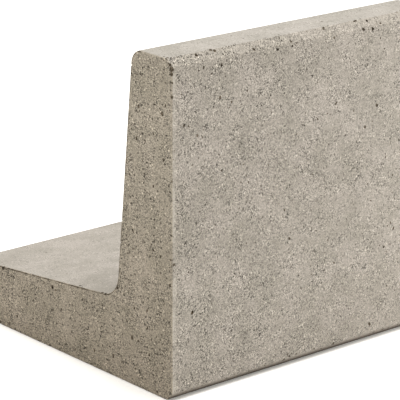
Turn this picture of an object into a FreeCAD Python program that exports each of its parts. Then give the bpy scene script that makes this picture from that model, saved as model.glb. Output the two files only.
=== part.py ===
import FreeCAD, Part
import math
import os

from FreeCAD import Vector

# L-shaped retaining unit in pressed concrete: a plain upright with a foot behind it,
# cast in one piece round a tied cage of ribbed bars.
#
# Part frame, in millimetres: X runs along the unit's length, -Y points out of its plain
# front face, +Z is up. The origin is the middle of the footprint, on the bed.
# Every outline is drawn as (depth, height): depth is measured back from the front face.

# ---- concrete ----
HEIGHT = 400.0
DEPTH = 400.0
LENGTH = 400.0
LEG_TIP = 70.0          # thickness of the upright at its crest, and of the foot at its rear
LEG_ROOT = 100.0        # thickness of both legs where they meet
ARRIS_CHAMFER = 10.0    # 45 degree chamfers along the front edges and the foot's rear bottom edge
TIP_ROUNDING = 18.0     # rounding behind the crest and on top of the foot's rear
INNER_FILLET = 30.0     # fillet in the inner corner

# ---- cage ----
COVER = 25.0            # concrete between any bar and the nearest face
MAIN_BAR = 8.0          # diameter of the bent main bars
CROSS_BAR = 6.0         # diameter of the straight bars that run along the unit
MAIN_BAR_PAIRS = 4      # one upright bar and one foot bar in each pair
PAIR_SPREAD = 12.0      # from the upright bar's centre to the foot bar's, along the unit
BEND_RADIUS = 20.0      # centre line of the main bars' bend
ANCHOR_LEG = 200.0      # how far a main bar runs on, beyond the inner corner, in the other leg
CROSS_BAR_STEPS = (150.0, 250.0, 350.0)    # places of the cross bars along each leg
ANCHOR_STEP = 225.0     # place of the cross bar on each anchor leg
BAR_GAP = 1.0           # paste between two bars that cross

# ---- ties ----
TIE_WIRE = 1.4          # diameter of the annealed wire
TIE_GAP = 0.8           # between a loop and the bars inside it
TIE_TAIL = 9.0          # twisted ends, past the loop
TIE_TAIL_WIDTH = 2.4

LEG_SLOPE = (LEG_ROOT - LEG_TIP) / (HEIGHT - LEG_ROOT)
SLANT = math.hypot(1.0, LEG_SLOPE)
MAIN_COVER = COVER + MAIN_BAR / 2
BAR_STACK = (MAIN_BAR + CROSS_BAR) / 2 + BAR_GAP


def at(depth, height, along=0.0):
    """The point of the part frame at a depth, a height and a place along the unit."""
    return Vector(along, depth - DEPTH / 2, height)


def unit_vector(vector):
    return vector * (1.0 / vector.Length)


def turn(corner, towards_before, towards_after, radius):
    """Start, middle and end of the arc that rounds a corner between two neighbouring points."""
    before = unit_vector(towards_before - corner)
    after = unit_vector(towards_after - corner)
    half_angle = before.getAngle(after) / 2
    reach = radius / math.tan(half_angle)
    bulge = radius / math.sin(half_angle) - radius
    return corner + before * reach, corner + unit_vector(before + after) * bulge, corner + after * reach


def rounded_wire(corners):
    """A closed wire through (depth, height, radius) corners, each turned on its radius."""
    points = [at(depth, height) for depth, height, radius in corners]
    turns = []
    for i, (depth, height, radius) in enumerate(corners):
        turns.append(turn(points[i], points[i - 1], points[(i + 1) % len(points)], radius))
    edges = []
    for i, (start, middle, end) in enumerate(turns):
        edges.append(Part.LineSegment(turns[i - 1][2], start).toShape())
        if corners[i][2] > 0:
            edges.append(Part.Arc(start, middle, end).toShape())
    return Part.Wire(edges)


def concrete_block():
    """The whole unit without its cage. Both legs have the same outline, mirrored."""
    far = HEIGHT - ARRIS_CHAMFER
    outline = [
        (ARRIS_CHAMFER, 0.0, 0.0),
        (0.0, ARRIS_CHAMFER, 0.0),
        (0.0, far, 0.0),
        (ARRIS_CHAMFER, HEIGHT, 0.0),
        (LEG_TIP, HEIGHT, TIP_ROUNDING),
        (LEG_ROOT, LEG_ROOT, INNER_FILLET),
        (DEPTH, LEG_TIP, TIP_ROUNDING),
        (DEPTH, ARRIS_CHAMFER, 0.0),
        (DEPTH - ARRIS_CHAMFER, 0.0, 0.0),
    ]
    face = Part.Face(rounded_wire(outline))
    face.translate(Vector(-LENGTH / 2, 0, 0))
    return face.extrude(Vector(LENGTH, 0, 0))


def round_rod(path_edges, diameter):
    """A rod of round section along a path of straight runs and tangent arcs."""
    path = Part.Wire(path_edges)
    start = path.Edges[0]
    along = start.tangentAt(start.FirstParameter)
    circle = Part.Circle(start.valueAt(start.FirstParameter), along, diameter / 2)
    return path.makePipeShell([Part.Wire(circle.toShape())], True, False)


def main_line(height):
    """Depth of an upright main bar's centre line, above its bend."""
    return LEG_TIP + (HEIGHT - height) * LEG_SLOPE - MAIN_COVER * SLANT


def main_bar_points():
    """Tip, bend corner and anchor end of an upright main bar, as (depth, height)."""
    tip_height = HEIGHT - MAIN_COVER
    return (
        (main_line(tip_height), tip_height),
        (main_line(MAIN_COVER), MAIN_COVER),
        (LEG_ROOT + ANCHOR_LEG, MAIN_COVER),
    )


def main_bar(along, mirrored):
    """A bent bar: down the back of the upright and on into the foot, or the mirror of that."""
    points = []
    for depth, height in main_bar_points():
        points.append(at(height, depth, along) if mirrored else at(depth, height, along))
    tip, corner, anchor_end = points
    start, middle, end = turn(corner, tip, anchor_end, BEND_RADIUS)
    edges = [
        Part.LineSegment(tip, start).toShape(),
        Part.Arc(start, middle, end).toShape(),
        Part.LineSegment(end, anchor_end).toShape(),
    ]
    return round_rod(edges, MAIN_BAR)


def bend_centre():
    """Centre of the upright main bar's bend, as (depth, height)."""
    height = MAIN_COVER + BEND_RADIUS
    return main_line(height) + BEND_RADIUS * SLANT, height


def crossings():
    """Each cross bar as (name, tie group, main bar's point, cross bar's point, main bar's way).

    Points are (depth, height) on the upright bar's side; the foot's cage is their mirror.
    """
    found = []
    slant_way = (LEG_SLOPE / SLANT, -1 / SLANT)
    for number, height in enumerate(CROSS_BAR_STEPS, 1):
        depth = main_line(height)
        cross = (depth - BAR_STACK / SLANT, height - BAR_STACK * LEG_SLOPE / SLANT)
        found.append(("cross_bar_%d" % number, "leg", (depth, height), cross, slant_way))
    centre = bend_centre()
    inside = BEND_RADIUS - BAR_STACK
    step = math.sqrt(0.5)
    on_bend = (centre[0] - BEND_RADIUS * step, centre[1] - BEND_RADIUS * step)
    in_bend = (centre[0] - inside * step, centre[1] - inside * step)
    found.append(("corner_bar", "corner", on_bend, in_bend, (step, -step)))
    on_leg = (ANCHOR_STEP, MAIN_COVER)
    over_leg = (ANCHOR_STEP, MAIN_COVER + BAR_STACK)
    found.append(("anchor_bar", "corner", on_leg, over_leg, (1.0, 0.0)))
    return found


def bar_places(mirrored):
    """Places of one leg's main bars along the unit. A pair's upright bar is the outer one."""
    first = -LENGTH / 2 + MAIN_COVER + PAIR_SPREAD / 2
    pitch = -2 * first / (MAIN_BAR_PAIRS - 1)
    outwards = -PAIR_SPREAD / 2 if mirrored else PAIR_SPREAD / 2
    middles = [first + i * pitch for i in range(MAIN_BAR_PAIRS)]
    return [middle + math.copysign(outwards, middle * outwards) for middle in middles]


def cross_bar(depth, height):
    """A straight bar along the unit."""
    length = LENGTH - 2 * COVER
    return Part.makeCylinder(CROSS_BAR / 2, length, at(depth, height, -length / 2), Vector(1, 0, 0))


def rectangle(centre, half_side, half_rise):
    """A flat rectangular face, from its centre and the two half sides as vectors."""
    corners = [
        centre - half_side - half_rise,
        centre + half_side - half_rise,
        centre + half_side + half_rise,
        centre - half_side + half_rise,
    ]
    return Part.Face(Part.makePolygon(corners + corners[:1]))


def tie(main_point, cross_point, main_way):
    """One loop of wire, set askew round a main bar and a cross bar, with its twisted ends.

    The wire is square in section and turns square corners, and its ends are one short stub.
    """
    off = unit_vector(cross_point - main_point)
    inwards = Vector(-math.copysign(1, main_point.x), 0, 0)
    askew = unit_vector(unit_vector(main_way) + inwards)
    through = off.cross(askew)
    room = TIE_GAP + TIE_WIRE / 2
    bottom = main_point - off * (MAIN_BAR / 2 + room)
    top = cross_point + off * (CROSS_BAR / 2 + room)
    centre = (bottom + top) * 0.5 - through * (TIE_WIRE / 2)
    half_width = (MAIN_BAR / 2 + room) * math.sqrt(2)
    half_height = (top - bottom).Length / 2
    outer, inner = (
        rectangle(centre, askew * (half_width + grow), off * (half_height + grow))
        for grow in (TIE_WIRE / 2, -TIE_WIRE / 2)
    )
    loop = outer.cut(inner).extrude(through * TIE_WIRE)
    half_tail = TIE_TAIL_WIDTH / 2
    tail_start = (bottom + top) * 0.5 + askew * half_width
    tail = rectangle(tail_start, off * half_tail, through * half_tail)
    return loop.fuse(tail.extrude(askew * TIE_TAIL))


def tied(pair, row):
    """Outer bars are tied at every crossing, inner ones at every second."""
    return pair in (0, MAIN_BAR_PAIRS - 1) or (pair + row) % 2 == 0


def leg_cage(leg, mirrored):
    """Bars and ties of one leg's main bars, by node name."""
    pieces = {}
    ties = {}
    places = bar_places(mirrored)
    for number, place in enumerate(places, 1):
        pieces["%s_main_bar_%d" % (leg, number)] = main_bar(place, mirrored)
    for row, (name, group, main_point, cross_point, way) in enumerate(crossings()):
        if mirrored:
            main_point = main_point[::-1]
            cross_point = cross_point[::-1]
            way = way[::-1]
        pieces["%s_%s" % (leg, name)] = cross_bar(*cross_point)
        for pair, place in enumerate(places):
            if tied(pair, row):
                loop = tie(at(*main_point, place), at(*cross_point, place), Vector(0, *way))
                ties.setdefault("%s_%s_ties" % (leg, group), []).append(loop)
    for name, loops in ties.items():
        pieces[name] = Part.makeCompound(loops)
    return pieces


def main():
    cage = {}
    cage.update(leg_cage("upright", False))
    cage.update(leg_cage("foot", True))
    solids = []
    for shape in cage.values():
        solids.extend(shape.Solids)
    concrete = concrete_block().cut(Part.makeCompound(solids))
    pieces = {"concrete_body": concrete}
    pieces.update(cage)
    os.makedirs("parts", exist_ok=True)
    steel = 0.0
    for name, shape in pieces.items():
        if not shape.isValid():
            raise RuntimeError("invalid shape: " + name)
        shape.exportStep("parts/%s.step" % name)
        print("%-24s solids %2d  volume %10.1f mm3" % (name, len(shape.Solids), shape.Volume))
        if name != "concrete_body":
            steel += shape.Volume
    print("concrete %.6f m3, steel %.6f m3" % (concrete.Volume * 1e-9, steel * 1e-9))
    box = concrete.BoundBox
    print("box", box.XMin, box.YMin, box.ZMin, box.XMax, box.YMax, box.ZMax)


main()
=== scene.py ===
"""An L-shaped retaining unit in pressed concrete: its looks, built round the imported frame."""

import math

import bmesh
import bpy
from mathutils import Matrix, Vector
from mathutils.geometry import intersect_line_line, intersect_point_line


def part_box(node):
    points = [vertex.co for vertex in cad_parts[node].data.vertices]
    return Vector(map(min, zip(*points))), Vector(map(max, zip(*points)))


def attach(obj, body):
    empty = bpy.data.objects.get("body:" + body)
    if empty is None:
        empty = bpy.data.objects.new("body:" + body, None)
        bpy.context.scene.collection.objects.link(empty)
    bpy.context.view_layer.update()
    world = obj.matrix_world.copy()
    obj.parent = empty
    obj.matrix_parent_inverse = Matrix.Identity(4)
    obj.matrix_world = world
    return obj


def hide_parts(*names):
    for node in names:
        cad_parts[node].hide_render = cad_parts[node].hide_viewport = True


bl_info = {
    "name": "Pressed concrete retaining unit",
    "version": (1, 0, 0),
    "blender": (4, 5, 0),
    "location": "3D View > Sidebar > Retaining Unit",
    "description": "Builds the concrete, the ribbed bars and the wire ties of one retaining unit",
    "category": "Add Mesh",
}

MM = 0.001

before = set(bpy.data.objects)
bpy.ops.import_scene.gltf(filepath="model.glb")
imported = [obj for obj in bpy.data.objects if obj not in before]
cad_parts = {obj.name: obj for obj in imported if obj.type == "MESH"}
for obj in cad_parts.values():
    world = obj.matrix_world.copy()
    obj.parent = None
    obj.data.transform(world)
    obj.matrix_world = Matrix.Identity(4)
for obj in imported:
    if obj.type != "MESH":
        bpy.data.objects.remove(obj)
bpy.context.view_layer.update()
BODY = "root"
CONCRETE_NODE = "concrete_body"
LOW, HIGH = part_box(CONCRETE_NODE)
LEGS = ("upright", "foot")
BAR_RADIUS = {}
for bar_kind in ("main", "cross"):
    low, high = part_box("upright_%s_bar_1" % bar_kind)
    BAR_RADIUS[bar_kind] = min(high - low) / 2


# ---- helpers ----

# the kinds of node that the trees use most
MATHS = "ShaderNodeMath"
VECTOR_MATHS = "ShaderNodeVectorMath"
MAP_RANGE = "ShaderNodeMapRange"
MIX = "ShaderNodeMix"
NOISE = "ShaderNodeTexNoise"
RANDOM = "FunctionNodeRandomValue"


def linear(hex_colour, alpha=1.0):
    """An sRGB hex colour as the linear colour that shaders take."""
    channels = [int(hex_colour[i:i + 2], 16) / 255 for i in (1, 3, 5)]
    turned = [c / 12.92 if c <= 0.04045 else ((c + 0.055) / 1.055) ** 2.4 for c in channels]
    return (*turned, alpha)


def add_node(tree, kind, inputs=None, **settings):
    """Add a node to a tree, give it its settings, and set or link its inputs by name or number.

    An input may be a value, another node's output, or another node, whose live output it takes.
    A list holds several of them, for a socket that joins what it is given.
    """
    node = tree.nodes.new(kind)
    for name, value in settings.items():
        setattr(node, name, value)
    for key, value in (inputs or {}).items():
        if isinstance(key, int):
            socket = node.inputs[key]
        else:
            socket = next(s for s in node.inputs if s.name == key and s.enabled)
        for source in value if isinstance(value, list) else [value]:
            if isinstance(source, bpy.types.Node):
                source = live(source)
            if isinstance(source, bpy.types.NodeSocket):
                tree.links.new(source, socket)
            else:
                socket.default_value = source
    return node


def live(node, name=None):
    """A node's first live output, or the live one of that name."""
    return next(s for s in node.outputs if s.enabled and name in (None, s.name))


def new_material(name):
    """A material with an empty node tree."""
    material = bpy.data.materials.new(name)
    material.use_nodes = True
    material.node_tree.nodes.clear()
    return material, material.node_tree


def new_shape_tree(name, source, sizes, result):
    """A tree from a source mesh, sizes and a material to a result, and the tree's inputs."""
    tree = bpy.data.node_groups.new(name, "GeometryNodeTree")
    tree.interface.new_socket(source, in_out="INPUT", socket_type="NodeSocketGeometry")
    for size in sizes:
        tree.interface.new_socket(size, in_out="INPUT", socket_type="NodeSocketFloat")
    tree.interface.new_socket("Material", in_out="INPUT", socket_type="NodeSocketMaterial")
    tree.interface.new_socket(result, in_out="OUTPUT", socket_type="NodeSocketGeometry")
    return tree, add_node(tree, "NodeGroupInput").outputs


def end_shape_tree(tree, shape, material):
    """End a tree in a real shape of one material."""
    real = add_node(tree, "GeometryNodeRealizeInstances", {0: shape})
    finished = add_node(tree, "GeometryNodeSetMaterial", {"Geometry": real, "Material": material})
    add_node(tree, "NodeGroupOutput", {0: finished})


def own_piece(name, mesh):
    """A new object at the origin for a finished mesh."""
    piece = bpy.data.objects.new(name, mesh)
    bpy.context.scene.collection.objects.link(piece)
    return piece


def run_tree(name, source, tree, values):
    """Run a node tree on a mesh with its named inputs set, and return the plain mesh it makes."""
    carrier = own_piece(name + "_source", source)
    modifier = carrier.modifiers.new(tree.name, "NODES")
    modifier.node_group = tree
    for socket in tree.interface.items_tree:
        if socket.in_out == "INPUT" and socket.name in values:
            modifier[socket.identifier] = values[socket.name]
    graph = bpy.context.evaluated_depsgraph_get()
    mesh = bpy.data.meshes.new_from_object(carrier.evaluated_get(graph))
    carrier.modifiers.clear()
    bpy.data.objects.remove(carrier)
    mesh.name = name
    return mesh


# ---- parts of the frame ----

SAME_PLACE = 0.001 * MM
FLAT_ENOUGH = math.radians(0.5)
ARRIS_ANGLE = math.radians(20)
SMOOTH_CONCRETE = math.radians(11)
SMOOTH_BAR = math.radians(60)

# what a vertex of the worn block is for
BLOCK, ARRIS, MOULD_LINE, CHIP = range(4)
MOULD_LINE_INSET = 1.3 * MM
# chips and deep pits seen from the left end: place from that end, depth from the front,
# height, and half width, in millimetres
CHIPS = (
    # on the near arris and the crest's chamfer
    (1.0, 4.5, 393.0, 1.8),
    (0.6, 2.0, 389.0, 2.6),
    (0.2, 0.9, 384.0, 2.3),
    (0.6, 0.4, 374.0, 1.3),
    (0.2, 0.8, 358.0, 1.9),
    (0.0, 0.6, 262.0, 1.3),
    (38.0, 0.4, 382.0, 1.4),
    (45.0, 0.5, 384.0, 1.6),
    (56.0, 0.3, 375.0, 1.4),
    (71.0, 0.5, 383.0, 2.4),
    (76.0, 4.0, 393.0, 1.3),
    (233.0, 9.0, 399.0, 1.8),
    # on the front
    (17.0, 0.0, 323.0, 1.6),
    (36.0, 0.0, 308.0, 1.7),
    (44.0, 0.0, 305.0, 1.3),
    (69.0, 0.0, 346.0, 1.9),
    (72.0, 0.0, 261.0, 1.8),
    (86.0, 0.0, 338.0, 1.5),
    (109.0, 0.0, 347.0, 1.6),
    (171.0, 1.0, 9.0, 2.2),
    # on the end
    (0.0, 17.0, 336.0, 2.4),
    (0.0, 21.0, 341.0, 1.4),
    (0.0, 58.0, 336.0, 1.8),
    (0.0, 62.0, 298.0, 1.7),
    (0.0, 68.0, 95.0, 1.7),
    (0.0, 72.0, 58.0, 2.2),
    (0.0, 41.0, 46.0, 1.7),
    (0.0, 27.0, 5.0, 1.8),
    (0.0, 143.0, 21.0, 1.7),
    (0.0, 224.0, 78.0, 2.3),
    (0.0, 217.0, 76.0, 1.5),
    (0.3, 322.0, 77.0, 1.8),
)


def merged_node(node_name):
    """A copy of a node's mesh with its doubles merged."""
    mesh = bmesh.new()
    mesh.from_mesh(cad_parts[node_name].data)
    bmesh.ops.remove_doubles(mesh, verts=mesh.verts, dist=SAME_PLACE)
    return mesh


def shells(mesh):
    """The vertices of each connected shell of a mesh, the farthest reaching shell first."""
    found, seen = [], set()
    for first in mesh.verts:
        if first in seen:
            continue
        seen.add(first)
        shell = [first]
        for vert in shell:
            for edge in vert.link_edges:
                other = edge.other_vert(vert)
                if other not in seen:
                    seen.add(other)
                    shell.append(other)
        found.append(shell)
    middle = (LOW + HIGH) / 2
    return sorted(found, key=lambda shell: -max((vert.co - middle).length for vert in shell))


# ---- concrete: shape ----

# how far at least a unit normal runs along an axis: on a face square to it, on a chamfer,
# and on an inner face of a leg, which leans a little
STRAIGHT_ON = 0.9
ASLANT = 0.5
LEANING = 0.05

# how open each kind of face is: pores, voids and bared sand come with it
END_OPENNESS = 1.0
FRONT_OPENNESS = 0.8
CHAMFER_OPENNESS = 1.3
SKIN_OPENNESS = 0.15

# more than there are grain shapes: picks past the last one start again at the first
ANY_SHAPE = 99
GRAIN_SHAPES = 8

# the open surface's inputs, each with the setting that it takes
SURFACE_SIZES = {
    "Smallest pore": "pore_smallest",
    "Largest pore": "pore_largest",
    "Pores per square metre": "pore_density",
    "Smallest void": "void_smallest",
    "Largest void": "void_largest",
    "Voids per square metre": "void_density",
    "Smallest crumb": "crumb_smallest",
    "Largest crumb": "crumb_largest",
    "Crumb spacing": "crumb_spacing",
    "Mould line": "mould_line",
}


def openness(normal):
    """How open the pressed surface is on a face, from its outward normal.

    The ends and the chamfer along the crest are the most open, and the front a little less.
    The crest, the foot's top, the back and the bed are skinned over.
    """
    if abs(normal.x) > STRAIGHT_ON:
        return END_OPENNESS
    if normal.y < -STRAIGHT_ON:
        return FRONT_OPENNESS
    if normal.y < -ASLANT and normal.z > ASLANT:
        return CHAMFER_OPENNESS
    return SKIN_OPENNESS


def mould_lines(mesh):
    """Lines on the ends, just inside their inner edges, where the mould's plates met.

    Each line is a list of its edges, and each edge is its two points.
    """
    pushes, edges = {}, []
    for edge in mesh.edges:
        faces = sorted(edge.link_faces, key=lambda face: abs(face.normal.x))
        if len(faces) < 2 or abs(faces[1].normal.x) < STRAIGHT_ON:
            continue
        inner = faces[0].normal
        if inner.y > LEANING and inner.z > LEANING:
            edges.append(edge)
            for vert in edge.verts:
                pushes[vert] = pushes.get(vert, Vector()) + inner
    shifted = {v: v.co - push.normalized() * MOULD_LINE_INSET for v, push in pushes.items()}
    return [[shifted[vert] for vert in edge.verts] for edge in edges]


def worn_block(settings):
    """The block with its arrises rounded off, and what is to be cut out of it beside it.

    The vertices' layer "use" tells the block from the arris lines, mould lines and chips.
    """
    mesh = merged_node(CONCRETE_NODE)
    cavities = [vert for shell in shells(mesh)[1:] for vert in shell]
    bmesh.ops.delete(mesh, geom=cavities, context="VERTS")
    bmesh.ops.dissolve_limit(mesh, angle_limit=FLAT_ENOUGH, verts=mesh.verts, edges=mesh.edges)
    face_openness = mesh.faces.layers.float.new("openness")
    for face in mesh.faces:
        face[face_openness] = openness(face.normal)
    arrises = [e for e in mesh.edges if e.calc_face_angle(0) > ARRIS_ANGLE]
    lines = {ARRIS: [[vert.co.copy() for vert in edge.verts] for edge in arrises]}
    lines[MOULD_LINE] = mould_lines(mesh)
    bmesh.ops.bevel(
        mesh, geom=arrises, offset=settings.arris_round, segments=2, profile=0.5, affect="EDGES"
    )
    use = mesh.verts.layers.int.new("use")
    size = mesh.verts.layers.float.new("size")
    for kind, edges in lines.items():
        made = {}
        for edge in edges:
            for point in edge:
                key = tuple(point)
                if key not in made:
                    made[key] = mesh.verts.new(point)
                    made[key][use] = kind
            mesh.edges.new([made[tuple(point)] for point in edge])
    for along, depth, height, half_width in CHIPS:
        chip = mesh.verts.new(LOW + Vector((along, depth, height)) * MM)
        chip[use] = CHIP
        chip[size] = half_width * MM
    block = bpy.data.meshes.new("worn_block")
    mesh.to_mesh(block)
    mesh.free()
    return block


def grain_shapes(tree, finish, roughness):
    """Some irregular grains of unit radius, as instances to pick from."""
    shapes = []
    for number in range(GRAIN_SHAPES):
        ball = add_node(tree, "GeometryNodeMeshIcoSphere", {"Radius": 1.0, "Subdivisions": finish})
        noise = add_node(
            tree, NOISE, {"Scale": 0.9, "Detail": 1.0, "W": 7.3 * number + 1.7}, noise_dimensions="4D"
        )
        centred = add_node(
            tree, VECTOR_MATHS, {0: live(noise, "Color"), 1: (0.5, 0.5, 0.5)}, operation="SUBTRACT"
        )
        moved = add_node(tree, VECTOR_MATHS, {0: centred, "Scale": roughness}, operation="SCALE")
        shaped = add_node(
            tree, "GeometryNodeSetPosition", {"Geometry": live(ball, "Mesh"), "Offset": moved}
        )
        shapes.append(add_node(tree, "GeometryNodeGeometryToInstance", {0: shaped}))
    return add_node(tree, "GeometryNodeJoinGeometry", {0: shapes[::-1]})


def skewed_size(tree, smallest, largest, power, seed):
    """A random size between two sockets, mostly near the smallest."""
    chance = add_node(tree, RANDOM, {"Seed": seed}, data_type="FLOAT")
    skewed = add_node(tree, MATHS, {0: chance, 1: power}, operation="POWER")
    return add_node(tree, MAP_RANGE, {"Value": skewed, "To Min": smallest, "To Max": largest})


def grains_on(tree, points, shapes, seed, placing):
    """A grain at each point, of a shape picked at random, with its scale and any turn."""
    pick = add_node(tree, RANDOM, {"Min": 0, "Max": ANY_SHAPE, "Seed": seed}, data_type="INT")
    inputs = {"Points": points, "Instance": shapes, "Pick Instance": True, "Instance Index": pick}
    return add_node(tree, "GeometryNodeInstanceOnPoints", {**inputs, **placing})


def scattered_pores(tree, block, density, size, seed, shapes, sink):
    """Pores over the faces, in clusters, each longer up the face than across it."""
    noise = add_node(tree, NOISE, {"Scale": 1 / (34 * MM), "Detail": 3.0, "Roughness": 0.6})
    cluster = add_node(
        tree,
        MAP_RANGE,
        {"Value": noise, "From Min": 0.40, "From Max": 0.66, "To Min": 0.12, "To Max": 1.7},
    )
    open_face = add_node(
        tree, "GeometryNodeInputNamedAttribute", {"Name": "openness"}, data_type="FLOAT"
    )
    share = add_node(tree, MATHS, {0: cluster, 1: open_face}, operation="MULTIPLY")
    wanted = add_node(tree, MATHS, {0: share, 1: density}, operation="MULTIPLY")
    spots = add_node(
        tree, "GeometryNodeDistributePointsOnFaces", {"Mesh": block, "Density": wanted, "Seed": seed}
    )
    upright = add_node(
        tree,
        "FunctionNodeAlignRotationToVector",
        {"Rotation": live(spots, "Rotation"), "Vector": (0.0, 0.0, 1.0)},
        axis="Y",
        pivot_axis="Z",
    )
    lean = add_node(tree, RANDOM, {"Min": -0.7, "Max": 0.7, "Seed": seed + 1}, data_type="FLOAT")
    lean_turn = add_node(tree, "ShaderNodeCombineXYZ", {"Z": lean})
    turned = add_node(
        tree,
        "FunctionNodeRotateRotation",
        {"Rotation": upright, "Rotate By": lean_turn},
        rotation_space="LOCAL",
    )
    stretch = add_node(
        tree,
        RANDOM,
        {"Min": (0.6, 0.9, 0.7), "Max": (1.0, 1.7, 1.15), "Seed": seed + 2},
        data_type="FLOAT_VECTOR",
    )
    scale = add_node(tree, VECTOR_MATHS, {0: stretch, "Scale": size}, operation="SCALE")
    depth = add_node(tree, MATHS, {0: size, 1: -sink}, operation="MULTIPLY")
    inwards = add_node(
        tree, VECTOR_MATHS, {0: live(spots, "Normal"), "Scale": depth}, operation="SCALE"
    )
    sunk = add_node(
        tree, "GeometryNodeSetPosition", {"Geometry": live(spots, "Points"), "Offset": inwards}
    )
    return grains_on(tree, sunk, shapes, seed + 3, {"Rotation": turned, "Scale": scale})


def chipped_spots(tree, spots, seed, shapes):
    """A ragged hollow at each chip's place, of the size that the place carries."""
    size = add_node(tree, "GeometryNodeInputNamedAttribute", {"Name": "size"}, data_type="FLOAT")
    stretch = add_node(
        tree,
        RANDOM,
        {"Min": (0.7, 0.7, 0.8), "Max": (1.0, 1.0, 1.4), "Seed": seed},
        data_type="FLOAT_VECTOR",
    )
    scale = add_node(
        tree, VECTOR_MATHS, {0: stretch, "Scale": live(size, "Attribute")}, operation="SCALE"
    )
    return grains_on(tree, spots, shapes, seed + 1, {"Scale": scale})


def ragged_groove(tree, lines, half_width):
    """A groove along lines, as wide as the mould leaked at each place."""
    path = add_node(tree, "GeometryNodeMeshToCurve", {"Mesh": lines})
    even = add_node(
        tree, "GeometryNodeResampleCurve", {"Curve": path, "Length": 1.5 * MM}, mode="LENGTH"
    )
    leak = add_node(tree, NOISE, {"Scale": 1 / (7 * MM), "Detail": 2.0})
    share = add_node(
        tree,
        MAP_RANGE,
        {"Value": leak, "From Min": 0.36, "From Max": 0.6, "To Min": 0.2, "To Max": 1.0},
    )
    radius = add_node(tree, MATHS, {0: share, 1: half_width}, operation="MULTIPLY")
    ring = add_node(tree, "GeometryNodeCurvePrimitiveCircle", {"Resolution": 6, "Radius": 1.0})
    return add_node(
        tree,
        "GeometryNodeCurveToMesh",
        {"Curve": even, "Profile Curve": live(ring, "Curve"), "Scale": radius, "Fill Caps": True},
    )


def arris_crumbs(tree, lines, spacing, size, seed, shapes):
    """Grains lost along the arrises."""
    curve = add_node(tree, "GeometryNodeMeshToCurve", {"Mesh": lines})
    even = add_node(
        tree, "GeometryNodeResampleCurve", {"Curve": curve, "Length": spacing}, mode="LENGTH"
    )
    spots = add_node(tree, "GeometryNodeCurveToPoints", {"Curve": even}, mode="EVALUATED")
    jitter = add_node(
        tree,
        RANDOM,
        {"Min": (-1.0, -1.0, -1.0), "Max": (1.0, 1.0, 1.0), "Seed": seed},
        data_type="FLOAT_VECTOR",
    )
    offset = add_node(tree, VECTOR_MATHS, {0: jitter, "Scale": spacing}, operation="SCALE")
    moved = add_node(
        tree, "GeometryNodeSetPosition", {"Geometry": live(spots, "Points"), "Offset": offset}
    )
    turn = add_node(
        tree,
        RANDOM,
        {"Max": (math.tau, math.tau, math.tau), "Seed": seed + 1},
        data_type="FLOAT_VECTOR",
    )
    scale = add_node(tree, "ShaderNodeCombineXYZ", {"X": size, "Y": size, "Z": size})
    return grains_on(tree, moved, shapes, seed + 2, {"Rotation": turn, "Scale": scale})


def open_surface_tree():
    """Cuts pores, voids, chips and mould lines into the faces of a block, and crumbs from its arrises."""
    tree, given = new_shape_tree("open_surface", "Block", SURFACE_SIZES, "Concrete")
    use = add_node(tree, "GeometryNodeInputNamedAttribute", {"Name": "use"}, data_type="INT")
    parts = {}
    for kind in (BLOCK, ARRIS, MOULD_LINE, CHIP):
        chosen = add_node(
            tree,
            "FunctionNodeCompare",
            {"A": live(use, "Attribute"), "B": kind},
            data_type="INT",
            operation="EQUAL",
        )
        parted = add_node(
            tree,
            "GeometryNodeSeparateGeometry",
            {"Geometry": given["Block"], "Selection": chosen},
            domain="POINT",
        )
        parts[kind] = parted.outputs["Selection"]
    block = parts[BLOCK]
    fine = grain_shapes(tree, 1, 0.9)
    coarse = grain_shapes(tree, 2, 1.1)
    pore = skewed_size(tree, given["Smallest pore"], given["Largest pore"], 2.2, 11)
    void = skewed_size(tree, given["Smallest void"], given["Largest void"], 3.0, 12)
    crumb = skewed_size(tree, given["Smallest crumb"], given["Largest crumb"], 4.0, 13)
    cutters = [
        scattered_pores(tree, block, given["Pores per square metre"], pore, 21, fine, 0.15),
        scattered_pores(tree, block, given["Voids per square metre"], void, 31, coarse, 0.05),
        arris_crumbs(tree, parts[ARRIS], given["Crumb spacing"], crumb, 41, fine),
        ragged_groove(tree, parts[MOULD_LINE], given["Mould line"]),
        chipped_spots(tree, parts[CHIP], 51, coarse),
    ]
    joined = add_node(tree, "GeometryNodeJoinGeometry", {0: cutters[::-1]})
    cut = add_node(
        tree,
        "GeometryNodeMeshBoolean",
        {"Mesh 1": block, "Mesh 2": joined},
        operation="DIFFERENCE",
        solver="MANIFOLD",
    )
    end_shape_tree(tree, live(cut, "Mesh"), given["Material"])
    return tree


def finished_block(mesh):
    """Fill the pores that are sealed inside, and add the cavities that the cage lies in."""
    inner = merged_node(CONCRETE_NODE)
    bmesh.ops.delete(inner, geom=shells(inner)[0], context="VERTS")
    cavities = bpy.data.meshes.new("cavities")
    inner.to_mesh(cavities)
    inner.free()
    whole = bmesh.new()
    whole.from_mesh(mesh)
    sealed = [vert for shell in shells(whole)[1:] for vert in shell]
    bmesh.ops.delete(whole, geom=sealed, context="VERTS")
    whole.from_mesh(cavities)
    whole.to_mesh(mesh)
    whole.free()
    bpy.data.meshes.remove(cavities)
    mesh.shade_smooth()
    mesh.set_sharp_from_angle(angle=SMOOTH_CONCRETE)
    return mesh


# ---- concrete: finish ----

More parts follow.
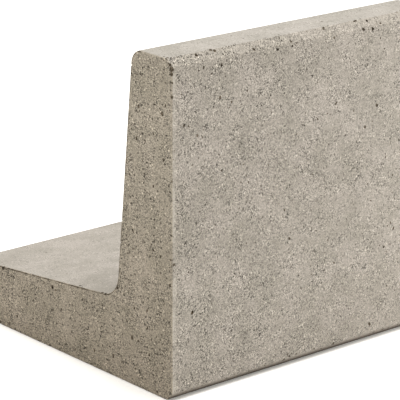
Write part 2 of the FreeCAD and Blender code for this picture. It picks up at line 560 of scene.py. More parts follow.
def concrete_places(tree, place):
    """Where a point of the concrete lies: a share for each kind of place, and its height."""
    apart = add_node(tree, "ShaderNodeSeparateXYZ", {"Vector": place})
    along, depth, height = (live(apart, axis) for axis in "XYZ")
    half_length = add_node(tree, MATHS, {0: along}, operation="ABSOLUTE")
    given = live(add_node(tree, "ShaderNodeAttribute", attribute_name="openness"), "Fac")
    where = {"height": height}
    for name, value, first, last, start, end in (
        ("on_end", half_length, HIGH.x - 0.9 * MM, HIGH.x - 0.4 * MM, 0.0, 1.0),
        ("near_end", half_length, HIGH.x - 7 * MM, HIGH.x - 2.5 * MM, 0.0, 1.0),
        ("on_front", depth, LOW.y + 1.5 * MM, LOW.y + 0.6 * MM, 0.0, 1.0),
        ("near_bed", height, 10 * MM, 2 * MM, 0.0, 1.0),
        ("on_open_face", given, SKIN_OPENNESS + 0.05, FRONT_OPENNESS, 0.0, 1.0),
        ("on_chamfer", given, END_OPENNESS + 0.05, CHAMFER_OPENNESS - 0.05, 0.0, 1.0),
        ("rearwards", depth, 0.0, HIGH.y, 0.78, 1.0),
        ("leftwards", along, LOW.x, HIGH.x, 1.06, 0.7),
    ):
        where[name] = add_node(
            tree,
            MAP_RANGE,
            {"Value": value, "From Min": first, "From Max": last, "To Min": start, "To Max": end},
        )
    in_pit = add_node(tree, MATHS, {0: given, 1: 0.02}, operation="LESS_THAN")
    is_open = add_node(tree, MATHS, {0: where["on_open_face"], 1: in_pit}, operation="MAXIMUM")
    skinned = add_node(tree, MATHS, {0: 1.0, 1: is_open}, operation="SUBTRACT")
    return {**where, "in_pit": in_pit, "open": is_open, "skinned": skinned}


def patchy_paste(tree, place, settings):
    """Broad patches, a few centimetres across, of richer and leaner paste."""
    patches = add_node(
        tree, NOISE, {"Vector": place, "Scale": 1 / (42 * MM), "Detail": 4.0, "Roughness": 0.62}
    )
    share = add_node(tree, MAP_RANGE, {"Value": patches, "From Min": 0.36, "From Max": 0.64})
    return add_node(
        tree,
        MIX,
        {"Factor": share, "A": settings.paste_light, "B": settings.paste_dark},
        data_type="RGBA",
    )


def bared_and_squeezed(tree, place, where):
    """Shares of bared sand, and of fines squeezed out, both in clusters a centimetre or two across.

    The sand lies most open on the open faces, and towards the left end, where the mould was fuller.
    """
    clusters = add_node(
        tree, NOISE, {"Vector": place, "Scale": 1 / (15 * MM), "Detail": 2.0, "Roughness": 0.5}
    )
    cluster_share = add_node(
        tree,
        MAP_RANGE,
        {"Value": clusters, "From Min": 0.34, "From Max": 0.66, "To Min": 0.4, "To Max": 1.0},
    )
    skin_share = add_node(
        tree, MAP_RANGE, {"Value": where["open"], "To Min": 0.34, "To Max": where["leftwards"]}
    )
    bared = add_node(tree, MATHS, {0: cluster_share, 1: skin_share}, operation="MULTIPLY")
    squeezed = add_node(
        tree,
        MAP_RANGE,
        {"Value": clusters, "From Min": 0.4, "From Max": 0.6, "To Min": 0.1, "To Max": 0.75},
    )
    return bared, squeezed


def with_sand(tree, shade, sand, bared, where):
    """One tone for each sand grain, stronger on the ends and towards the foot's rear."""
    chance = add_node(tree, "ShaderNodeSeparateColor", {0: live(sand, "Color")})
    spread = add_node(tree, MAP_RANGE, {"Value": live(chance, "Red"), "To Min": -1.0, "To Max": 1.0})
    contrast = add_node(
        tree, MAP_RANGE, {"Value": where["on_end"], "To Min": 0.84, "To Max": where["rearwards"]}
    )
    tone = add_node(tree, MATHS, {0: spread, 1: contrast, 2: 1.0}, operation="MULTIPLY_ADD")
    return add_node(
        tree, MIX, {"Factor": bared, "A": shade, "B": tone}, data_type="RGBA", blend_type="MULTIPLY"
    )


def with_grit(tree, shade, leaning, bared, settings):
    """Here and there a larger grain is missing, which leaves a pinhole darkened with painted shade, or
    shows cream.

    Returns the shade, and the share of pinholes.
    """
    grit = add_node(tree, "ShaderNodeTexVoronoi", {"Vector": leaning, "Scale": 1 / settings.grit_grain})
    grit_chance = add_node(tree, "ShaderNodeSeparateColor", {0: live(grit, "Color")})
    grit_body = add_node(
        tree, MAP_RANGE, {"Value": live(grit, "Distance"), "From Min": 0.46, "From Max": 0.30}
    )
    shares = []
    for channel, chance, colour in (
        # the pinholes' dark colour is painted shade
        ("Red", 0.12, settings.pinhole_shade),
        ("Green", 0.06, settings.pale_grit),
    ):
        picked = add_node(
            tree, MATHS, {0: live(grit_chance, channel), 1: chance}, operation="LESS_THAN"
        )
        body = add_node(tree, MATHS, {0: picked, 1: grit_body}, operation="MULTIPLY")
        share = add_node(tree, MATHS, {0: body, 1: bared}, operation="MULTIPLY")
        shares.append(share)
        shade = add_node(tree, MIX, {"Factor": share, "A": shade, "B": colour}, data_type="RGBA")
    return shade, shares[0]


def with_rich_edges(tree, shade, squeezed, where, settings):
    """Fines that the mould squeezed out along the front's end arrises."""
    edge_share = add_node(
        tree, MATHS, {0: where["near_end"], 1: where["on_front"]}, operation="MULTIPLY"
    )
    rich_share = add_node(tree, MATHS, {0: edge_share, 1: squeezed}, operation="MULTIPLY")
    return add_node(
        tree, MIX, {"Factor": rich_share, "A": shade, "B": settings.rich_paste}, data_type="RGBA"
    )


def with_streaks(tree, shade, place, where):
    """Faint streaks of the skin along the unit, where the mould wall slid past."""
    drawn_out = add_node(
        tree,
        "ShaderNodeMapping",
        {"Vector": place, "Scale": (1 / (120 * MM), 1 / (4 * MM), 1 / (4 * MM))},
    )
    streaks = add_node(tree, NOISE, {"Vector": drawn_out, "Scale": 1.0, "Detail": 3.0})
    tone = add_node(
        tree,
        MAP_RANGE,
        {"Value": streaks, "From Min": 0.3, "From Max": 0.7, "To Min": 0.96, "To Max": 1.03},
    )
    return add_node(
        tree,
        MIX,
        {"Factor": where["skinned"], "A": shade, "B": tone},
        data_type="RGBA",
        blend_type="MULTIPLY",
    )


def with_tints(tree, shade, where, settings):
    """The ends are a little more olive, partly their own tone and partly painted shade, the pits
    get painted shade, and painted shade darkens the unit towards the bed, most on the ends,
    and more on the chamfers at the bed.

    Painted shade also darkens the crest's chamfer, and the front towards its upper left.
    """
    # painted shade: darker towards the bed, fading out by seven tenths of the height, fullest on the ends
    low_shade_strength = add_node(tree, MAP_RANGE, {"Value": where["on_end"], "To Min": 0.6, "To Max": 1.0})
    low_shade, high_up = (
        add_node(
            tree,
            MAP_RANGE,
            {
                "Value": where["height"],
                "From Min": HIGH.z * first,
                "From Max": HIGH.z * last,
                "To Max": most,
            },
        )
        for first, last, most in ((0.7, 0.0, low_shade_strength), (0.25, 0.6, where["leftwards"]))
    )
    # painted shade on the skinned faces just above the bed, mostly the chamfer that faces down; and painted
    # shade up the front, towards its upper left
    bed_shade, front_shade = (
        add_node(tree, MATHS, {0: share, 1: other}, operation="MULTIPLY")
        for share, other in ((where["near_bed"], where["skinned"]), (where["on_front"], high_up))
    )
    for share, tint in (
        # partly the ends' own more olive tone, partly painted shade of the ends
        (where["on_end"], settings.end_tone_and_shade_tint),
        # painted shade in the pits
        (where["in_pit"], settings.pit_shade_tint),
        # painted shade towards the bed
        (low_shade, settings.low_shade_tint),
        # painted shade on the chamfers at the bed
        (bed_shade, settings.bed_shade_tint),
        # painted shade on the crest's chamfer
        (where["on_chamfer"], settings.chamfer_shade_tint),
        # painted shade up the front, towards its upper left
        (front_shade, settings.front_shade_tint),
    ):
        shade = add_node(
            tree, MIX, {"Factor": share, "A": shade, "B": tint}, data_type="RGBA", blend_type="MULTIPLY"
        )
    return shade


def sand_relief(tree, place, sand, pinholes, bared, where):
    """Sand grains stand proud of the paste, with fine grit between them, and pinholes go down."""
    fine = add_node(
        tree, NOISE, {"Vector": place, "Scale": 1 / (1.1 * MM), "Detail": 2.0, "Roughness": 0.7}
    )
    proud = add_node(
        tree, MATHS, {0: live(sand, "Distance"), 1: -0.6, 2: fine}, operation="MULTIPLY_ADD"
    )
    relief = add_node(tree, MATHS, {0: proud, 1: bared}, operation="MULTIPLY")
    pinholed = add_node(tree, MATHS, {0: pinholes, 1: -2.0, 2: relief}, operation="MULTIPLY_ADD")
    depth = add_node(
        tree, MAP_RANGE, {"Value": where["on_end"], "To Min": 0.8 * MM, "To Max": 1.6 * MM}
    )
    return add_node(tree, "ShaderNodeBump", {"Height": pinholed, "Strength": 0.9, "Distance": depth})


def pressed_concrete(settings):
    """Earth-moist concrete pressed in a steel mould: matt, sandy and warm grey.

    Sand grains show in the paste as pale and dark specks, painted shade darkens the pinholes where
    grains are missing, and faces that slid along the mould wear a smoother skin, drawn out in faint
    streaks.
    """
    material, tree = new_material("vibro_pressed_concrete")
    place = live(add_node(tree, "ShaderNodeTexCoord"), "Object")
    where = concrete_places(tree, place)
    bared, squeezed = bared_and_squeezed(tree, place, where)

    # the mould draws sand and grit a little longer than wide up the face
    leaning = add_node(
        tree,
        "ShaderNodeMapping",
        {"Vector": place, "Rotation": (0.2, 0.35, 0.0), "Scale": (1.0, 0.66, 0.78)},
    )
    sand = add_node(tree, "ShaderNodeTexVoronoi", {"Vector": leaning, "Scale": 1 / settings.sand_grain})
    paste = patchy_paste(tree, place, settings)
    shade = with_sand(tree, paste, sand, bared, where)
    shade, pinholes = with_grit(tree, shade, leaning, bared, settings)
    shade = with_rich_edges(tree, shade, squeezed, where, settings)
    shade = with_streaks(tree, shade, place, where)
    shade = with_tints(tree, shade, where, settings)
    bump = sand_relief(tree, place, sand, pinholes, bared, where)
    shader = add_node(
        tree,
        "ShaderNodeBsdfPrincipled",
        {
            "Base Color": shade,
            "Normal": bump,
            "Roughness": 0.93,
            "IOR": 1.5,
            "Specular IOR Level": 0.25,
        },
    )
    add_node(tree, "ShaderNodeOutputMaterial", {"Surface": shader})
    return material


# ---- bars ----

BEND_RADIUS = 20 * MM
BEND_STEPS = 12
IN_LINE = 0.01
RINGS_PER_RIB = 6.0
RING_SIDES = 20


def bar_ends(node_name):
    """Centre and outward normal of each flat end of a bar."""
    mesh = merged_node(node_name)
    bmesh.ops.dissolve_limit(mesh, angle_limit=FLAT_ENOUGH, verts=mesh.verts, edges=mesh.edges)
    caps = sorted(mesh.faces, key=lambda face: len(face.verts))[-2:]
    ends = [(cap.calc_center_median(), cap.normal.copy()) for cap in caps]
    mesh.free()
    return ends


def bar_line(node_name):
    """A bar's centre line from its tip: straight, or turned through its bend on an arc."""
    (tip, tip_normal), (tail, tail_normal) = bar_ends(node_name)
    if tip_normal.cross(tail_normal).length < IN_LINE:
        return [tip, tail]
    corner = intersect_line_line(tip, tip + tip_normal, tail, tail + tail_normal)[0]
    if (tail - corner).length > (tip - corner).length:
        tip, tail = tail, tip
    before, after = (tip - corner).normalized(), (tail - corner).normalized()
    half_angle = before.angle(after) / 2
    centre = corner + (before + after).normalized() * BEND_RADIUS / math.sin(half_angle)
    reach = BEND_RADIUS / math.tan(half_angle)
    first = (corner + before * reach - centre).normalized()
    last = (corner + after * reach - centre).normalized()
    arc = [
        centre + first.slerp(last, step / BEND_STEPS) * BEND_RADIUS for step in range(BEND_STEPS + 1)
    ]
    return [tip, *arc, tail]


def line_mesh(name, lines):
    """A mesh of loose edges that follows each line of points."""
    points, edges = [], []
    for line in lines:
        first = len(points)
        points.extend(line)
        edges.extend((i, i + 1) for i in range(first, len(points) - 1))
    mesh = bpy.data.meshes.new(name)
    mesh.from_pydata(points, edges, [])
    return mesh


def bar_core(tree, given):
    """The plain core, with how far along, from an end and around each of its points is."""
    path = add_node(tree, "GeometryNodeMeshToCurve", {"Mesh": given["Line"]})
    step = add_node(tree, MATHS, {0: given["Rib spacing"], 1: RINGS_PER_RIB}, operation="DIVIDE")
    even = add_node(tree, "GeometryNodeResampleCurve", {"Curve": path, "Length": step}, mode="LENGTH")
    spline = add_node(tree, "GeometryNodeSplineParameter")
    passed = live(spline, "Length")
    whole = add_node(tree, "GeometryNodeSplineLength")
    left = add_node(tree, MATHS, {0: live(whole, "Length"), 1: passed}, operation="SUBTRACT")
    from_end = add_node(tree, MATHS, {0: passed, 1: left}, operation="MINIMUM")
    ring = add_node(
        tree, "GeometryNodeCurvePrimitiveCircle", {"Resolution": RING_SIDES, "Radius": given["Core radius"]}
    )
    curves, kept = [], []
    for curve, values in (
        (live(even), {"Along": passed, "From end": live(from_end)}),
        (live(ring, "Curve"), {"Around": live(spline, "Factor")}),
    ):
        keeper = add_node(tree, "GeometryNodeCaptureAttribute", {"Geometry": curve}, domain="POINT")
        for name, value in values.items():
            keeper.capture_items.new("FLOAT", name)
            tree.links.new(value, keeper.inputs[name])
            kept.append(keeper.outputs[name])
        curves.append(keeper.outputs["Geometry"])
    core = add_node(
        tree,
        "GeometryNodeCurveToMesh",
        {"Curve": curves[0], "Profile Curve": curves[1], "Fill Caps": True},
    )
    return core, kept


def crescent_ribs(tree, along, side, across, spacing):
    """Ribs on each side: full height in its middle, run out at the long ribs, half a step apart."""
    way = add_node(tree, MATHS, {0: side, 1: -2.0, 2: 1.0}, operation="MULTIPLY_ADD")
    half_step = add_node(tree, MATHS, {0: side, 1: 0.5}, operation="MULTIPLY")
    pitches = add_node(tree, MATHS, {0: along, 1: spacing}, operation="DIVIDE")
    staggered = add_node(tree, MATHS, {0: pitches, 1: half_step}, operation="ADD")
    leaning = add_node(tree, MATHS, {0: across, 1: way, 2: staggered}, operation="MULTIPLY_ADD")
    phase = add_node(tree, MATHS, {0: leaning}, operation="FRACT")
    centred = add_node(tree, MATHS, {0: phase, 1: 0.5}, operation="SUBTRACT")
    from_crest = add_node(tree, MATHS, {0: centred}, operation="ABSOLUTE")
    crest = add_node(
        tree,
        MAP_RANGE,
        {"Value": from_crest, "From Min": 0.30, "From Max": 0.08},
        interpolation_type="SMOOTHSTEP",
    )
    half_turn = add_node(tree, MATHS, {0: across, 1: math.pi}, operation="MULTIPLY")
    bulge = add_node(tree, MATHS, {0: half_turn}, operation="SINE")
    crescent = add_node(tree, MATHS, {0: bulge, 1: 0.6}, operation="POWER")
    return add_node(tree, MATHS, {0: crest, 1: crescent}, operation="MULTIPLY")


def long_ribs(tree, across):
    """Ribs along the bar, where the two rolls met."""
    other_way = add_node(tree, MATHS, {0: 1.0, 1: across}, operation="SUBTRACT")
    from_seam = add_node(tree, MATHS, {0: across, 1: other_way}, operation="MINIMUM")
    return add_node(tree, MAP_RANGE, {"Value": from_seam, "From Min": 0.09, "From Max": 0.0})


def ribbed_bar_tree():
    """A bar along a line: crescent ribs on two sides, leaning each its own way, and two long ribs."""
    sizes = ("Core radius", "Rib height", "Rib spacing")
    tree, given = new_shape_tree("ribbed_bar", "Line", sizes, "Bar")
    core, (along, from_end, around) = bar_core(tree, given)
    sides = add_node(tree, MATHS, {0: around, 1: 2.0}, operation="MULTIPLY")
    across = add_node(tree, MATHS, {0: sides}, operation="FRACT")
    side = add_node(tree, MATHS, {0: sides}, operation="FLOOR")
    crescents = crescent_ribs(tree, along, side, across, given["Rib spacing"])
    rib = add_node(tree, MATHS, {0: crescents, 1: long_ribs(tree, across)}, operation="MAXIMUM")
    sheared = add_node(tree, MAP_RANGE, {"Value": from_end, "From Min": 0.5 * MM, "From Max": 2.5 * MM})
    whole_rib = add_node(tree, MATHS, {0: rib, 1: sheared}, operation="MULTIPLY")
    rise = add_node(tree, MATHS, {0: whole_rib, 1: given["Rib height"]}, operation="MULTIPLY")
    normal = add_node(tree, "GeometryNodeInputNormal")
    outwards = add_node(tree, VECTOR_MATHS, {0: normal, "Scale": rise}, operation="SCALE")
    ribbed = add_node(tree, "GeometryNodeSetPosition", {"Geometry": core, "Offset": outwards})
    end_shape_tree(tree, ribbed, given["Material"])
    return tree


def hot_rolled_steel(settings):
    """Hot-rolled ribbed bar: blue-grey mill scale, dull, with thin brown rust in blotches."""
    material, tree = new_material("hot_rolled_bar_steel")
    place = live(add_node(tree, "ShaderNodeTexCoord"), "Object")
    blotches = add_node(
        tree, NOISE, {"Vector": place, "Scale": 1 / (9 * MM), "Detail": 5.0, "Roughness": 0.65}
    )
    rust_share = add_node(tree, MAP_RANGE, {"Value": blotches, "From Min": 0.50, "From Max": 0.62})
    flakes = add_node(tree, NOISE, {"Vector": place, "Scale": 1 / (2.5 * MM), "Detail": 2.0})
    mill_scale = add_node(
        tree,
        MIX,
        {"Factor": flakes, "A": settings.scale_colour, "B": settings.flaked_colour},
        data_type="RGBA",
    )
    colour = add_node(
        tree, MIX, {"Factor": rust_share, "A": mill_scale, "B": settings.rust_colour}, data_type="RGBA"
    )
    metal = add_node(tree, MAP_RANGE, {"Value": rust_share, "To Min": 0.75, "To Max": 0.05})
    roughness = add_node(tree, MAP_RANGE, {"Value": rust_share, "To Min": 0.48, "To Max": 0.88})
    pitting = add_node(tree, NOISE, {"Vector": place, "Scale": 1 / (0.7 * MM), "Detail": 2.0})
    bump = add_node(tree, "ShaderNodeBump", {"Height": pitting, "Strength": 0.5, "Distance": 0.08 * MM})
    shader = add_node(
        tree,
        "ShaderNodeBsdfPrincipled",
        {"Base Color": colour, "Metallic": metal, "Roughness": roughness, "Normal": bump},
    )
    add_node(tree, "ShaderNodeOutputMaterial", {"Surface": shader})
    return material


# ---- ties ----

CORNER_STEPS = 4
CORNER_RADIUS = 1.4 * MM
STEPS_PER_TWIST = 12


def nearest_on_line(line, point):
    """The point of a line of points that is nearest to a point, and the way the line runs there."""
    best = None
    for start, end in zip(line, line[1:]):
        spot, share = intersect_point_line(point, start, end)
        spot = start.lerp(end, min(max(share, 0.0), 1.0))
        gap = (spot - point).length
        if best is None or gap < best[0]:
            best = gap, spot, (end - start).normalized()
    return best


def rounded_loop(corners):
    """Points round a closed loop of corners, each turned on a small arc."""
    points = []
    for i, corner in enumerate(corners):
        before = (corners[i - 1] - corner).normalized()
        after = (corners[(i + 1) % len(corners)] - corner).normalized()
        centre = corner + (before + after) * CORNER_RADIUS
        for step in range(CORNER_STEPS + 1):
            turned = (-after).slerp(-before, step / CORNER_STEPS)
            points.append(centre + turned * CORNER_RADIUS)
    return points


def tie_line(middle, mains, crosses, settings):
    """One wire's centre line: one twisted end, once round the crossing, and the other end."""
    cross_line = min(crosses, key=lambda line: nearest_on_line(line, middle)[0])
    main_line = min(mains, key=lambda line: nearest_on_line(line, middle)[0])
    on_cross = nearest_on_line(cross_line, middle)[1]
    on_cross.x = main_line[0].x
    _, on_main, way = nearest_on_line(main_line, on_cross)
    off = (on_cross - on_main).normalized()
    inwards = Vector((-math.copysign(1, on_main.x), 0, 0))
    askew = (way + inwards).normalized()
    through = off.cross(askew)
    room = settings.gap + settings.diameter / 2
    bottom = on_main - off * (BAR_RADIUS["main"] + room)
    top = on_cross + off * (BAR_RADIUS["cross"] + room)
    centre = (bottom + top) / 2
    across = askew * (BAR_RADIUS["main"] + room) * math.sqrt(2)
    up = (top - bottom) / 2
    knot = centre + across
    strand = settings.diameter / 2

    def twisted(share, first_angle):
        """A point of one strand of the tail, at a share of the tail's length."""
        angle = first_angle + math.tau * settings.twists * share
        sideways = off * math.cos(angle) + through * math.sin(angle)
        return knot + askew * settings.tail * share + sideways * strand

    steps = int(settings.twists * STEPS_PER_TWIST)
    one_end = [twisted(1 - step / steps, 0.0) for step in range(steps)]
    other_end = [twisted((step + 1) / steps, math.pi) for step in range(steps)]
    corners = [centre + across + up, centre - across + up, centre - across - up, centre + across - up]
    return [*one_end, *rounded_loop(corners), *other_end]


def round_wire_tree():
    """Round wire along a line."""
    tree, given = new_shape_tree("round_wire", "Line", ("Diameter", "Step"), "Wire")
    path = add_node(tree, "GeometryNodeMeshToCurve", {"Mesh": given["Line"]})
    even = add_node(
        tree, "GeometryNodeResampleCurve", {"Curve": path, "Length": given["Step"]}, mode="LENGTH"
    )
    radius = add_node(tree, MATHS, {0: given["Diameter"], 1: 0.5}, operation="MULTIPLY")
    ring = add_node(tree, "GeometryNodeCurvePrimitiveCircle", {"Resolution": 8, "Radius": radius})
    tube = add_node(
        tree,
        "GeometryNodeCurveToMesh",
        {"Curve": even, "Profile Curve": live(ring, "Curve"), "Fill Caps": True},
    )
    end_shape_tree(tree, tube, given["Material"])
    return tree


def black_annealed_wire(settings):
    """Soft iron wire, annealed black: a thin even oxide with a satin, slightly oily shine."""
    material, tree = new_material("black_annealed_wire")
    place = live(add_node(tree, "ShaderNodeTexCoord"), "Object")
    oxide = add_node(tree, NOISE, {"Vector": place, "Scale": 1 / (3 * MM), "Detail": 4.0})
    colour = add_node(
        tree, MIX, {"Factor": oxide, "A": settings.colour, "B": settings.bare_colour}, data_type="RGBA"
    )
    roughness = add_node(tree, MAP_RANGE, {"Value": oxide, "To Min": 0.32, "To Max": 0.62})
    drawing_marks = add_node(tree, NOISE, {"Vector": place, "Scale": 1 / (0.4 * MM), "Detail": 2.0})
    bump = add_node(
        tree, "ShaderNodeBump", {"Height": drawing_marks, "Strength": 0.3, "Distance": 0.03 * MM}
    )
    shader = add_node(
        tree,
        "ShaderNodeBsdfPrincipled",
        {"Base Color": colour, "Metallic": 0.85, "Roughness": roughness, "Normal": bump},
    )
    add_node(tree, "ShaderNodeOutputMaterial", {"Surface": shader})
    return material


# ---- settings ----

def length_setting(name, description, default):
    """A length that the user can change, zero or more."""
    return bpy.props.FloatProperty(
        name=name, description=description, default=default, min=0.0, unit="LENGTH"
    )


def colour_setting(name, description, hex_colour):
    """A colour that the user can change."""
    return bpy.props.FloatVectorProperty(
        name=name, description=description, default=linear(hex_colour), subtype="COLOR", size=4
    )


class ConcreteSettings(bpy.types.PropertyGroup):
    arris_round: length_setting(
        "Arris rounding", "How far each arris is rounded off by the mould and by handling", 1.2 * MM
    )
    pore_smallest: length_setting("Smallest pore", "Half width of the smallest pore", 0.45 * MM)
    pore_largest: length_setting("Largest pore", "Half width of the largest pore", 1.0 * MM)
    pore_density: bpy.props.FloatProperty(
        name="Pores", description="Pores on a square metre of the most open face", default=14000.0,
    )
    void_smallest: length_setting("Smallest void", "Half width of the smallest void", 0.9 * MM)
    void_largest: length_setting("Largest void", "Half width of the largest void", 2.1 * MM)
    void_density: bpy.props.FloatProperty(
        name="Voids", description="Voids on a square metre of the most open face", default=800.0,
    )
    crumb_smallest: length_setting(
        "Smallest crumb", "Half width of the smallest grain lost from an arris", 0.6 * MM
    )
    crumb_largest: length_setting(
        "Largest crumb", "Half width of the largest grain lost from an arris", 2.7 * MM
    )
    crumb_spacing: length_setting(
        "Crumb spacing", "Distance between grains lost along an arris", 3.6 * MM
    )
    mould_line: length_setting(
        "Mould line", "Half width of the line that the mould's plates left", 0.75 * MM
    )
    sand_grain: length_setting(
        "Sand grain", "Spacing of the sand grains that show in the paste", 0.85 * MM
    )
    grit_grain: length_setting(
        "Grit grain", "Spacing of the larger grains, of which only some show", 2.2 * MM
    )
    paste_light: colour_setting("Light paste", "Colour of the cement-rich patches", "#9C968E")
    paste_dark: colour_setting("Dark paste", "Colour of the sandy patches", "#8F8A81")
    # painted shade down the pinholes
    pinhole_shade: colour_setting("Pinhole shade", "Painted shade down the pinholes that missing grains leave", "#3C362E")
    rich_paste: colour_setting(
        "Rich paste", "Colour of the fines along the front's end arrises", "#B6B0A6"
    )
    pale_grit: colour_setting("Pale grit", "Colour of the quartz and cream grains", "#D8D0C4")
    # partly the ends' own more olive tone and partly painted shade of the ends
    end_tone_and_shade_tint: colour_setting(
        "End tint", "How the ends differ from the front: a little more olive, partly in their own tone and partly in painted shade", "#FFFBF2"
    )
    # painted shade in the pits, chips and mould line
    pit_shade_tint: colour_setting("Pit tint", "Painted shade in the pits", "#B8AFA2")
    # painted shade: darker towards the bed, fading out up the unit
    low_shade_tint: colour_setting(
        "Low shade tint", "Darkening at the bed, which fades out up the unit", "#E9E6E2"
    )
    # painted shade on the chamfers at the bed, which face down
    bed_shade_tint: colour_setting(
        "Bed shade tint", "Painted shade on the chamfers at the bed, which face down", "#968F87"
    )
    # painted shade along the crest's chamfer
    chamfer_shade_tint: colour_setting(
        "Chamfer tint", "Painted shade along the crest's chamfer", "#F5F3F0"
    )
    # painted shade up the front, most towards its upper left
    front_shade_tint: colour_setting("Front shade tint", "Painted shade up the front, most towards its upper left", "#F4F3F2")


class BarSettings(bpy.types.PropertyGroup):
    rib_share: bpy.props.FloatProperty(
        name="Rib height", description="Height of a rib, as a share of the bar's diameter",
        default=0.045, min=0.0, max=0.1,
    )
    pitch_share: bpy.props.FloatProperty(
        name="Rib spacing", description="Distance between ribs, as a share of the bar's diameter",
        default=0.75, min=0.3, max=1.5,
    )
    scale_colour: colour_setting("Mill scale", "Colour of the mill scale", "#5A5F66")
    flaked_colour: colour_setting("Flaked scale", "Colour where the mill scale has flaked", "#3F4043")
    rust_colour: colour_setting("Rust", "Colour of the thin rust", "#7A4A2B")


class TieSettings(bpy.types.PropertyGroup):
    diameter: length_setting("Wire", "Diameter of the wire", 1.4 * MM)
    gap: length_setting("Slack", "Between a loop and the bars inside it", 0.8 * MM)
    tail: length_setting("Tail", "Length of the twisted ends", 8.7 * MM)
    twists: bpy.props.FloatProperty(name="Twists", description="Turns of the twisted ends", default=2.5)
    colour: colour_setting("Oxide", "Colour of the black oxide", "#3A3A3C")
    bare_colour: colour_setting("Thin oxide", "Colour where the oxide is thin", "#5C5A57")


class StageSettings(bpy.types.PropertyGroup):
    azimuth: bpy.props.FloatProperty(
        name="Azimuth", description="Where the camera stands round the unit",
        default=math.radians(-40.338), unit="ROTATION",
    )
    elevation: bpy.props.FloatProperty(
        name="Elevation", description="How far the camera looks down",
        default=math.radians(17.437), unit="ROTATION",
    )
    roll: bpy.props.FloatProperty(
        name="Roll", description="How far the camera is turned about its own line of sight",
        default=math.radians(0.186), unit="ROTATION",
    )
    distance: length_setting("Distance", "From the camera to the point it looks at", 3.0)
    target: bpy.props.FloatVectorProperty(
        name="Target", description="The point that the camera looks at",
        subtype="TRANSLATION", size=3, default=(0.0411, 0.0364, 0.1353),
    )
    lens: bpy.props.FloatProperty(
        name="Lens", description="Focal length on a 36 mm sensor, in millimetres", default=215.81,
    )
    floor_half: length_setting("Floor", "Half the floor's width", 12.0)
    floor_gap: length_setting("Floor gap", "How far the floor lies under the unit", 0.2 * MM)
    floor_colour: colour_setting("Floor colour", "Colour of the floor", "#EAE8E4")
    floor_glow: bpy.props.FloatProperty(
        name="Floor glow", description="How far the floor is lit from below", default=0.16,
    )
    room_colour: colour_setting("Room colour", "Colour of the light from all round", "#FFFBF4")
    room_strength: bpy.props.FloatProperty(
        name="Room light", description="Strength of the light from all round", default=0.75,
    )
    overhead_place: bpy.props.FloatVectorProperty(
        name="Overhead place", description="Where the broad overhead light comes from",
        subtype="TRANSLATION", size=3, default=(0.3, -0.2, 3.0),
    )
    overhead_strength: bpy.props.FloatProperty(
        name="Overhead light", description="Strength of the broad overhead light", default=4.0,
    )
    overhead_spread: bpy.props.FloatProperty(
        name="Overhead spread", description="How broad the overhead light looks from the unit",
        default=math.radians(50), unit="ROTATION",
    )
    overhead_colour: colour_setting("Overhead colour", "Colour of the overhead light", "#FAFCFF")
    softbox_place: bpy.props.FloatVectorProperty(
        name="Softbox place", description="Where the softbox stands, in front and to the right",
        subtype="TRANSLATION", size=3, default=(0.75, -0.55, 0.35),
    )
    softbox_size: length_setting("Softbox size", "Width of the softbox", 0.5)
    softbox_power: bpy.props.FloatProperty(
        name="Softbox power", description="Power of the softbox, in watts", default=3.2,
    )


# ---- operators ----

class PRECAST_OT_concrete_body(bpy.types.Operator):
    """Build the concrete, with its open surface and crumbled arrises."""

    bl_idname = "precast.concrete_body"
    bl_label = "Concrete Body"

    def execute(self, context):
        settings = context.scene.precast_concrete
        values = {name: getattr(settings, size) for name, size in SURFACE_SIZES.items()}
        values["Material"] = pressed_concrete(settings)
        mesh = run_tree("concrete", worn_block(settings), open_surface_tree(), values)
        piece = own_piece("concrete", finished_block(mesh))
        print("concrete: %d vertices" % len(mesh.vertices))
        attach(piece, BODY)
        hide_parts(CONCRETE_NODE)
        return {"FINISHED"}


class PRECAST_OT_bars(bpy.types.Operator):
    """Build the ribbed bars of the cage, each in place of its plain bar."""

    bl_idname = "precast.bars"
    bl_label = "Ribbed Bars"

    def execute(self, context):
        settings = context.scene.precast_bars
        tree = ribbed_bar_tree()
        steel = hot_rolled_steel(settings)
        for node_name in sorted(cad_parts):
            if "_bar" not in node_name:
                continue
            radius = BAR_RADIUS["main" if "main_bar" in node_name else "cross"]
            rib = settings.rib_share * 2 * radius
            values = {
                "Core radius": radius - rib,
                "Rib height": rib,
                "Rib spacing": settings.pitch_share * 2 * radius,
                "Material": steel,
            }
            line = line_mesh(node_name + "_line", [bar_line(node_name)])
            mesh = run_tree("ribbed_" + node_name, line, tree, values)
            mesh.shade_smooth()
            mesh.set_sharp_from_angle(angle=SMOOTH_BAR)
            piece = own_piece("ribbed_" + node_name, mesh)
            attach(piece, BODY)
            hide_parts(node_name)
        return {"FINISHED"}


class PRECAST_OT_ties(bpy.types.Operator):
    """Build the wire ties of the cage, each node's loops as one piece."""

    bl_idname = "precast.ties"
    bl_label = "Wire Ties"

    def execute(self, context):
        settings = context.scene.precast_ties
        tree = round_wire_tree()
        values = {
            "Diameter": settings.diameter,
            "Step": settings.diameter / 2,
            "Material": black_annealed_wire(settings),
        }
        for leg in LEGS:
            bars = [name for name in sorted(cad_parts) if name.startswith(leg) and "_bar" in name]
            mains = [bar_line(name) for name in bars if "main_bar" in name]
            crosses = [bar_line(name) for name in bars if "main_bar" not in name]
            for group in ("leg", "corner"):
                node_name = "%s_%s_ties" % (leg, group)
                plain = merged_node(node_name)
                lines = []
                for shell in shells(plain):
                    middle = sum((vert.co for vert in shell), Vector()) / len(shell)
                    lines.append(tie_line(middle, mains, crosses, settings))
                plain.free()
                line = line_mesh(node_name + "_lines", lines)
                mesh = run_tree("wire_" + node_name, line, tree, values)
                mesh.shade_smooth()
                piece = own_piece("wire_" + node_name, mesh)
                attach(piece, BODY)
                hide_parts(node_name)
        return {"FINISHED"}


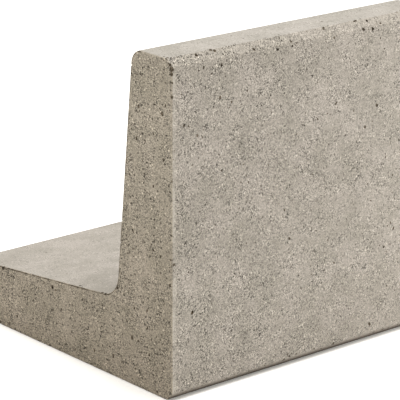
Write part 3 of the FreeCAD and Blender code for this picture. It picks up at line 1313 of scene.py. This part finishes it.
class PRECAST_OT_stage(bpy.types.Operator):
    """Set the unit on a pale floor under soft light, and place the camera."""

    bl_idname = "precast.stage"
    bl_label = "Stage"

    def execute(self, context):
        settings = context.scene.precast_stage
        self.add_floor(settings)
        self.add_lights(context, settings)
        self.add_camera(context, settings)
        context.scene.view_settings.view_transform = "Standard"
        return {"FINISHED"}

    def add_floor(self, settings):
        half = settings.floor_half
        down = -settings.floor_gap
        corners = [(-half, -half, down), (half, -half, down), (half, half, down), (-half, half, down)]
        mesh = bpy.data.meshes.new("floor")
        mesh.from_pydata(corners, [], [(0, 1, 2, 3)])
        paint, tree = new_material("pale_floor_paint")
        shader = add_node(
            tree,
            "ShaderNodeBsdfPrincipled",
            {
                "Base Color": settings.floor_colour,
                "Roughness": 0.9,
                "Emission Color": settings.floor_colour,
                "Emission Strength": settings.floor_glow,
            },
        )
        add_node(tree, "ShaderNodeOutputMaterial", {"Surface": shader})
        mesh.materials.append(paint)
        own_piece("floor", mesh)

    def add_lights(self, context, settings):
        room = bpy.data.worlds.new("soft_room")
        room.use_nodes = True
        sky = room.node_tree.nodes["Background"]
        sky.inputs["Color"].default_value = settings.room_colour
        sky.inputs["Strength"].default_value = settings.room_strength
        context.scene.world = room
        overhead = bpy.data.lights.new("overhead", "SUN")
        overhead.energy = settings.overhead_strength
        overhead.angle = settings.overhead_spread
        overhead.color = settings.overhead_colour[:3]
        softbox = bpy.data.lights.new("softbox", "AREA")
        softbox.energy = settings.softbox_power
        softbox.size = settings.softbox_size
        for lamp, place in ((overhead, settings.overhead_place), (softbox, settings.softbox_place)):
            holder = bpy.data.objects.new(lamp.name, lamp)
            holder.location = place
            holder.rotation_euler = (-Vector(place)).to_track_quat("-Z", "Y").to_euler()
            holder.visible_camera = False
            context.scene.collection.objects.link(holder)

    def add_camera(self, context, settings):
        azimuth, elevation = settings.azimuth, settings.elevation
        back = Vector((
            math.sin(azimuth) * math.cos(elevation),
            -math.cos(azimuth) * math.cos(elevation),
            math.sin(elevation),
        ))
        camera_data = bpy.data.cameras.new("camera")
        camera_data.lens = settings.lens
        camera_data.sensor_width = 36.0
        camera = bpy.data.objects.new("camera", camera_data)
        context.scene.collection.objects.link(camera)
        aimed = (-back).to_track_quat("-Z", "Y").to_matrix().to_4x4()
        rolled = aimed @ Matrix.Rotation(settings.roll, 4, "Z")
        place = Vector(settings.target) + back * settings.distance
        camera.matrix_world = Matrix.Translation(place) @ rolled
        context.scene.camera = camera


class PRECAST_PT_panel(bpy.types.Panel):
    """The unit's sizes and colours, and a button for each group of pieces."""

    bl_idname = "PRECAST_PT_panel"
    bl_label = "Retaining Unit"
    bl_space_type = "VIEW_3D"
    bl_region_type = "UI"
    bl_category = "Retaining Unit"

    def draw(self, context):
        for operator, group_name in STEPS:
            box = self.layout.box()
            group = getattr(context.scene, group_name)
            for name in group.bl_rna.properties.keys():
                if name not in ("rna_type", "name"):
                    box.prop(group, name)
            box.operator(operator)


STEPS = (
    ("precast.stage", "precast_stage"),
    ("precast.concrete_body", "precast_concrete"),
    ("precast.bars", "precast_bars"),
    ("precast.ties", "precast_ties"),
)
SETTING_GROUPS = {
    "precast_stage": StageSettings,
    "precast_concrete": ConcreteSettings,
    "precast_bars": BarSettings,
    "precast_ties": TieSettings,
}
CLASSES = (
    *SETTING_GROUPS.values(),
    PRECAST_OT_stage,
    PRECAST_OT_concrete_body,
    PRECAST_OT_bars,
    PRECAST_OT_ties,
    PRECAST_PT_panel,
)


def register():
    for added in CLASSES:
        bpy.utils.register_class(added)
    for name, group in SETTING_GROUPS.items():
        setattr(bpy.types.Scene, name, bpy.props.PointerProperty(type=group))


def unregister():
    for name in SETTING_GROUPS:
        delattr(bpy.types.Scene, name)
    for added in reversed(CLASSES):
        bpy.utils.unregister_class(added)


def main():
    register()
    bpy.ops.precast.stage()
    bpy.ops.precast.concrete_body()
    bpy.ops.precast.bars()
    bpy.ops.precast.ties()


if __name__ == "__main__":
    main()
